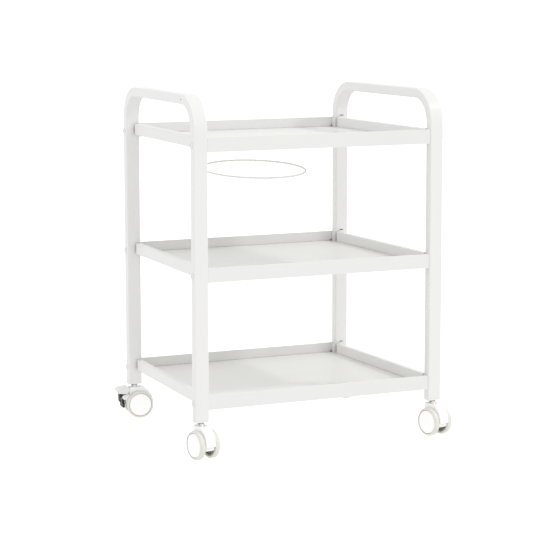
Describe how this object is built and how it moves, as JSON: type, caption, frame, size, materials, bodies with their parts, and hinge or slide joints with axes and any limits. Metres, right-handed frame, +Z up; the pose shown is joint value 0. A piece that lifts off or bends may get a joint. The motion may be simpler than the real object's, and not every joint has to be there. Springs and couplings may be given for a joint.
{
  "type": "rolling salon trolley",
  "caption": "White rolling trolley with bent tube end frames, shallow sheet trays, a swing-out bowl ring and twin-wheel casters.",
  "frame": {"origin": "on the floor, in the middle of the footprint", "axes": "+X along the trays to the right end frame, -Y the front of the trolley, +Z up"},
  "size_m": [0.5909, 0.4921, 0.731],
  "materials": {
    "frame_paint": "white satin powder coat",
    "tray_paint": "white gloss powder coat",
    "ring_paint": "white gloss powder coat on wire",
    "screw_zinc": "bright zinc plate",
    "stem_steel": "bright plated steel",
    "hood_plastic": "moulded white nylon",
    "cap_plastic": "moulded white nylon",
    "pedal_plastic": "moulded pale nylon",
    "core_plastic": "moulded dark plastic",
    "dark_plastic": "moulded black plastic",
    "tread_rubber": "pale grey soft tread"
  },
  "bodies": {
    "frame": {"left_frame_tube": "frame_paint", "left_rail_top": "frame_paint", "left_rail_middle": "frame_paint", "left_rail_bottom": "frame_paint", "right_frame_tube": "frame_paint", "right_rail_top": "frame_paint", "right_rail_middle": "frame_paint", "right_rail_bottom": "frame_paint", "tray_top": "tray_paint", "tray_middle": "tray_paint", "tray_bottom": "tray_paint", "tray_bolts": "screw_zinc", "caster_sockets": "dark_plastic", "caster_stems": "stem_steel", "ring_bracket": "frame_paint", "ring_screw": "screw_zinc"},
    "bowl_holder": {"ring_arm": "ring_paint", "bowl_ring": "ring_paint"},
    "front_left_caster": {"front_left_hood": "hood_plastic", "front_left_axle": "stem_steel"},
    "front_left_wheel_a": {"front_left_wheel_a_core": "core_plastic", "front_left_wheel_a_tread": "tread_rubber", "front_left_wheel_a_cap": "cap_plastic"},
    "front_left_wheel_b": {"front_left_wheel_b_core": "core_plastic", "front_left_wheel_b_tread": "tread_rubber", "front_left_wheel_b_cap": "cap_plastic"},
    "front_right_caster": {"front_right_hood": "hood_plastic", "front_right_axle": "stem_steel"},
    "front_right_wheel_a": {"front_right_wheel_a_core": "core_plastic", "front_right_wheel_a_tread": "tread_rubber", "front_right_wheel_a_cap": "cap_plastic"},
    "front_right_wheel_b": {"front_right_wheel_b_core": "core_plastic", "front_right_wheel_b_tread": "tread_rubber", "front_right_wheel_b_cap": "cap_plastic"},
    "rear_left_caster": {"rear_left_hood": "hood_plastic", "rear_left_axle": "stem_steel", "rear_left_brake_pin": "stem_steel"},
    "rear_left_wheel_a": {"rear_left_wheel_a_core": "core_plastic", "rear_left_wheel_a_tread": "tread_rubber", "rear_left_wheel_a_cap": "cap_plastic"},
    "rear_left_wheel_b": {"rear_left_wheel_b_core": "core_plastic", "rear_left_wheel_b_tread": "tread_rubber", "rear_left_wheel_b_cap": "cap_plastic"},
    "rear_left_brake": {"rear_left_brake_lever": "dark_plastic", "rear_left_brake_pedal": "pedal_plastic"},
    "rear_right_caster": {"rear_right_hood": "hood_plastic", "rear_right_axle": "stem_steel", "rear_right_brake_pin": "stem_steel"},
    "rear_right_wheel_a": {"rear_right_wheel_a_core": "core_plastic", "rear_right_wheel_a_tread": "tread_rubber", "rear_right_wheel_a_cap": "cap_plastic"},
    "rear_right_wheel_b": {"rear_right_wheel_b_core": "core_plastic", "rear_right_wheel_b_tread": "tread_rubber", "rear_right_wheel_b_cap": "cap_plastic"},
    "rear_right_brake": {"rear_right_brake_lever": "dark_plastic", "rear_right_brake_pedal": "pedal_plastic"}
  },
  "joints": [
    {"name": "ring_swing", "type": "hinge", "parent": "frame", "child": "bowl_holder", "pos_m": [-0.176, 0.008, 0.615], "axis": [0, 0, 1], "range_deg": [-75, 75]},
    {"name": "front_left_swivel", "type": "hinge", "parent": "frame", "child": "front_left_caster", "pos_m": [-0.2647, -0.20436, 0.06], "axis": [0, 0, 1], "continuous": true},
    {"name": "front_left_roll_a", "type": "hinge", "parent": "front_left_caster", "child": "front_left_wheel_a", "pos_m": [-0.24571, -0.21015, 0.03], "axis": [-0.9848, -0.1736, 0], "continuous": true},
    {"name": "front_left_roll_b", "type": "hinge", "parent": "front_left_caster", "child": "front_left_wheel_b", "pos_m": [-0.28057, -0.21629, 0.03], "axis": [-0.9848, -0.1736, 0], "continuous": true},
    {"name": "front_right_swivel", "type": "hinge", "parent": "frame", "child": "front_right_caster", "pos_m": [0.2647, -0.20436, 0.06], "axis": [0, 0, 1], "continuous": true},
    {"name": "front_right_roll_a", "type": "hinge", "parent": "front_right_caster", "child": "front_right_wheel_a", "pos_m": [0.28397, -0.20915, 0.03], "axis": [-0.9744, -0.225, 0], "continuous": true},
    {"name": "front_right_roll_b", "type": "hinge", "parent": "front_right_caster", "child": "front_right_wheel_b", "pos_m": [0.24948, -0.21711, 0.03], "axis": [-0.9744, -0.225, 0], "continuous": true},
    {"name": "rear_left_swivel", "type": "hinge", "parent": "frame", "child": "rear_left_caster", "pos_m": [-0.25181, 0.21945, 0.06], "axis": [0, 0, 1], "continuous": true},
    {"name": "rear_left_roll_a", "type": "hinge", "parent": "rear_left_caster", "child": "rear_left_wheel_a", "pos_m": [-0.24044, 0.23572, 0.03], "axis": [-0.1392, -0.9903, 0], "continuous": true},
    {"name": "rear_left_roll_b", "type": "hinge", "parent": "rear_left_caster", "child": "rear_left_wheel_b", "pos_m": [-0.24536, 0.20067, 0.03], "axis": [-0.1392, -0.9903, 0], "continuous": true},
    {"name": "rear_left_brake_press", "type": "hinge", "parent": "rear_left_caster", "child": "rear_left_brake", "pos_m": [-0.27558, 0.22279, 0.046], "axis": [-0.1392, -0.9903, 0], "range_deg": [0, 8]},
    {"name": "rear_right_swivel", "type": "hinge", "parent": "frame", "child": "rear_right_caster", "pos_m": [0.25181, 0.21945, 0.06], "axis": [0, 0, 1], "continuous": true},
    {"name": "rear_right_roll_a", "type": "hinge", "parent": "rear_right_caster", "child": "rear_right_wheel_a", "pos_m": [0.26232, 0.23629, 0.03], "axis": [-0.0872, -0.9962, 0], "continuous": true},
    {"name": "rear_right_roll_b", "type": "hinge", "parent": "rear_right_caster", "child": "rear_right_wheel_b", "pos_m": [0.25924, 0.20103, 0.03], "axis": [-0.0872, -0.9962, 0], "continuous": true},
    {"name": "rear_right_brake_press", "type": "hinge", "parent": "rear_right_caster", "child": "rear_right_brake", "pos_m": [0.2279, 0.22154, 0.046], "axis": [-0.0872, -0.9962, 0], "range_deg": [0, 8]}
  ]
}
